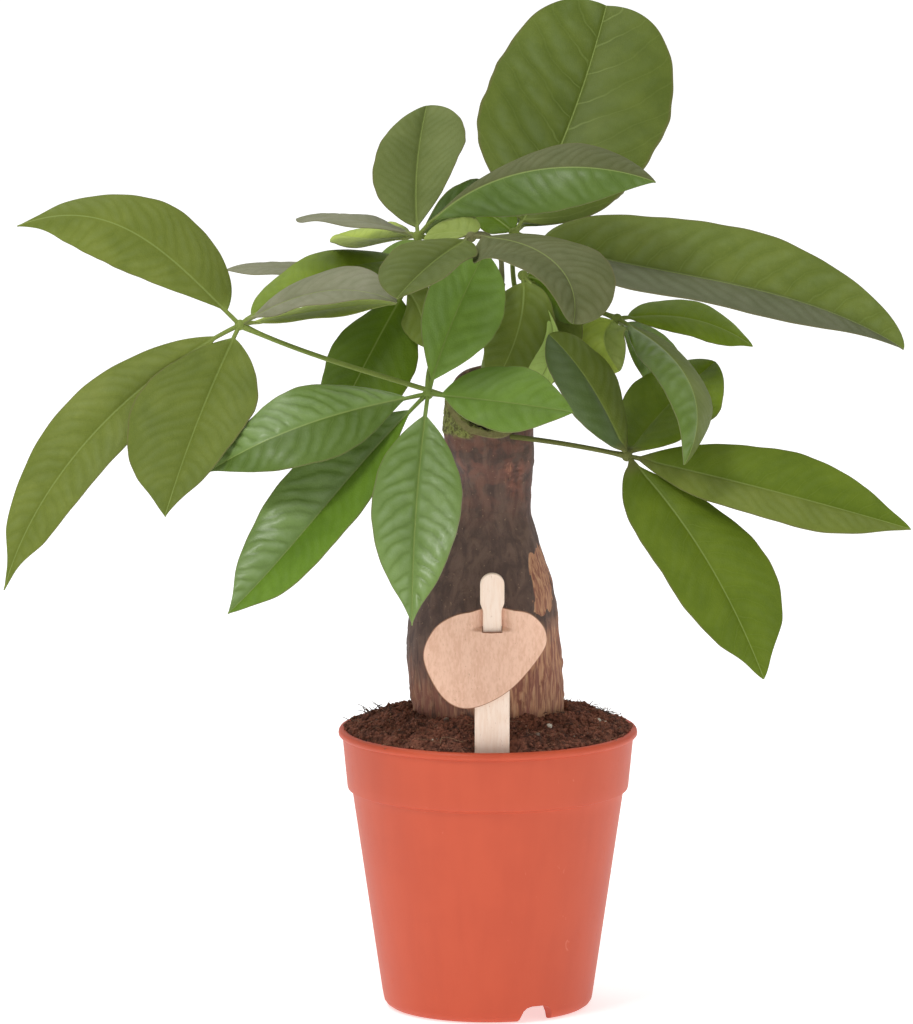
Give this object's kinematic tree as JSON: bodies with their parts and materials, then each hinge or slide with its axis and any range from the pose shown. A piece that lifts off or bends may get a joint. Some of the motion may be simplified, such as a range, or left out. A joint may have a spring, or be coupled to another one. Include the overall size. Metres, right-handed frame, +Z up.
{
  "type": "potted money tree",
  "caption": "Young money tree with a bare bottle-shaped stump and palmate glossy leaves, in a tapered terracotta-coloured plastic nursery pot, with a plain wooden plant label on a stick.",
  "frame": {"origin": "centre of the pot's flat underside", "axes": "+Z up along the pot's axis, -Y towards the front, where the plant label stands, +X to the right as seen from the front"},
  "size_m": [0.3585, 0.2344, 0.3979],
  "materials": {
    "pot_plastic": "satin terracotta-coloured injection-moulded plastic",
    "peat": "dark brown crumbly peat",
    "bark": "dark fibrous bark, tan where it has flaked",
    "green_stem": "smooth green shoot",
    "leaf": "thin glossy leaf with a pale midrib",
    "stick_wood": "pale plain wood",
    "disc_wood": "pale plain veneer"
  },
  "bodies": {
    "root": {"pot": "pot_plastic", "soil": "peat", "stump": "bark", "shoot_main": "green_stem", "shoot_side": "green_stem", "leaf_a": "leaf", "leaf_b": "leaf", "leaf_c": "leaf", "leaf_m": "leaf", "leaf_d": "leaf", "leaf_e": "leaf", "leaf_f": "leaf", "leaf_h": "leaf", "leaf_i": "leaf", "label_stick": "stick_wood", "label_disc": "disc_wood"}
  },
  "joints": []
}
